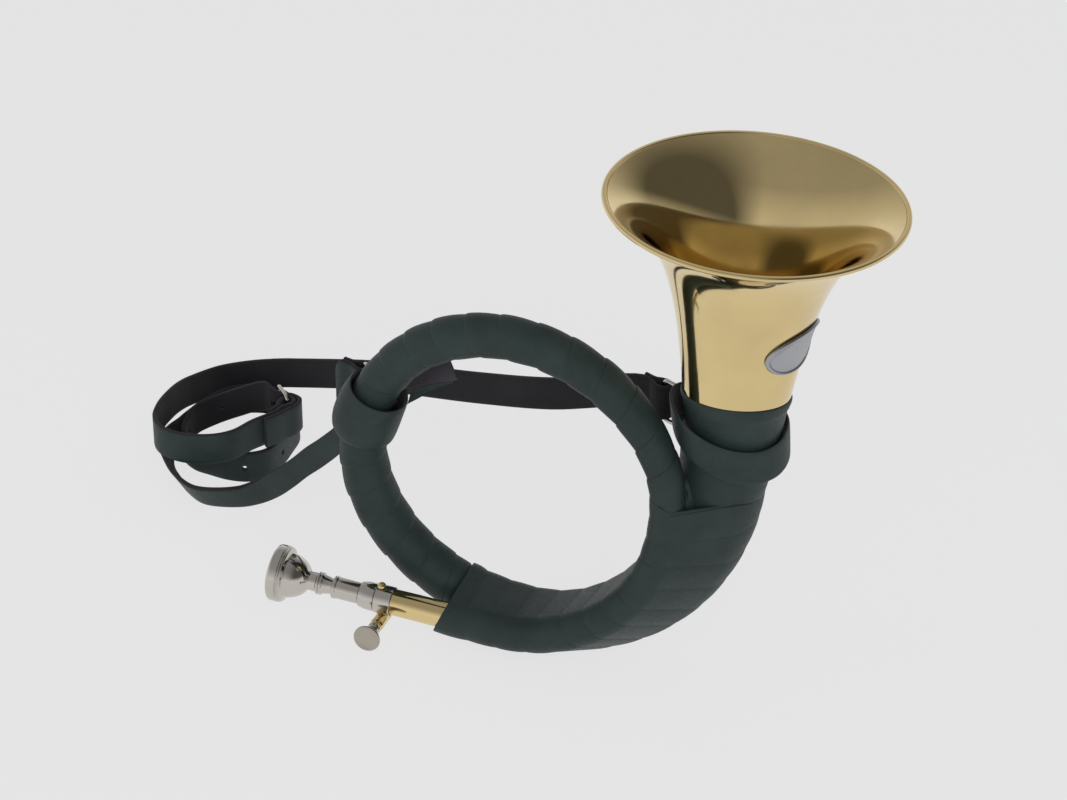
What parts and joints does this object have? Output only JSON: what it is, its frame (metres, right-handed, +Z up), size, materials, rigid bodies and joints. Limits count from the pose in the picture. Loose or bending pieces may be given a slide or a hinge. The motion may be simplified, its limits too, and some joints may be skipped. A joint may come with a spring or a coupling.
{
  "type": "hunting horn",
  "caption": "Coiled brass hunting horn with a leather-bound tube, upward bell, cup mouthpiece in a clamped tuning slide, and a buckled leather shoulder strap",
  "frame": {"origin": "centre of the coil", "axes": "X along the leadpipe, with the mouthpiece towards -X; Y across the coil, with the leadpipe on the -Y side; Z up through the coil towards the bell's mouth"},
  "size_m": [0.3909, 0.224, 0.2486],
  "materials": {
    "brass": "polished and lacquered",
    "nickel": "polished nickel silver",
    "satin": "satin nickel silver",
    "silver": "matt silver plate",
    "leather": "smooth grain side, dark green",
    "suede": "grain outside, flesh side inside"
  },
  "bodies": {
    "horn": {"coil_tube": "brass", "bell_branch": "brass", "bell": "brass", "bell_rim_bead": "brass", "badge": "silver", "leadpipe": "brass", "clamp_ferrule": "nickel", "clamp_lug_front": "brass", "clamp_lug_back": "brass", "stop_nub": "brass", "coil_wrap": "leather", "joint_wrap": "leather", "branch_wrap": "leather", "bell_cuff": "leather", "tube_brace_1": "brass", "tube_brace_2": "brass", "tube_brace_3": "brass", "bell_collar": "leather", "coil_collar": "leather", "collar_flap": "leather", "flap_lining": "suede", "ring_tab_bell": "leather", "ring_tab_coil": "leather", "strap_long": "suede", "strap_tongue": "suede"},
    "tuning_slide": {"slide_tube": "nickel", "slide_ferrule": "nickel", "mouthpiece_receiver": "nickel"},
    "cup_mouthpiece": {"mouthpiece": "nickel"},
    "clamp_screw": {"thumb_screw": "satin", "clamp_collar": "nickel"},
    "bell_ring": {"ring_bell": "nickel"},
    "coil_ring": {"ring_coil": "nickel"},
    "buckle": {"buckle_frame": "nickel"},
    "prong": {"buckle_prong": "nickel"}
  },
  "joints": [
    {"name": "slide_draw", "type": "slide", "parent": "horn", "child": "tuning_slide", "axis": [-0.9969, 0, 0.0785], "range_m": [0, 0.015]},
    {"name": "mouthpiece_pull", "type": "slide", "parent": "tuning_slide", "child": "cup_mouthpiece", "axis": [-0.9969, 0, 0.0785], "range_m": [0, 0.01]},
    {"name": "clamp_turn", "type": "hinge", "parent": "horn", "child": "clamp_screw", "pos_m": [-0.05946, -0.01236, -0.07624], "axis": [0.0062, -0.9969, 0.0782], "range_deg": [0, 720]},
    {"name": "bell_ring_swing", "type": "hinge", "parent": "horn", "child": "bell_ring", "pos_m": [0.06807, 0.02496, 0.0375], "axis": [0, 0, 1], "range_deg": [-6, 6]},
    {"name": "coil_ring_swing", "type": "hinge", "parent": "horn", "child": "coil_ring", "pos_m": [-0.07643, 0.02522, 0.019], "axis": [0, 0, 1], "range_deg": [-6, 6]},
    {"name": "buckle_tilt", "type": "hinge", "parent": "horn", "child": "buckle", "pos_m": [-0.16, 0.121, -0.0627], "axis": [0, 0, -1], "range_deg": [0, 8]},
    {"name": "prong_lift", "type": "hinge", "parent": "buckle", "child": "prong", "pos_m": [-0.16, 0.121, -0.0627], "axis": [0, 0, -1], "range_deg": [0, 12]}
  ]
}
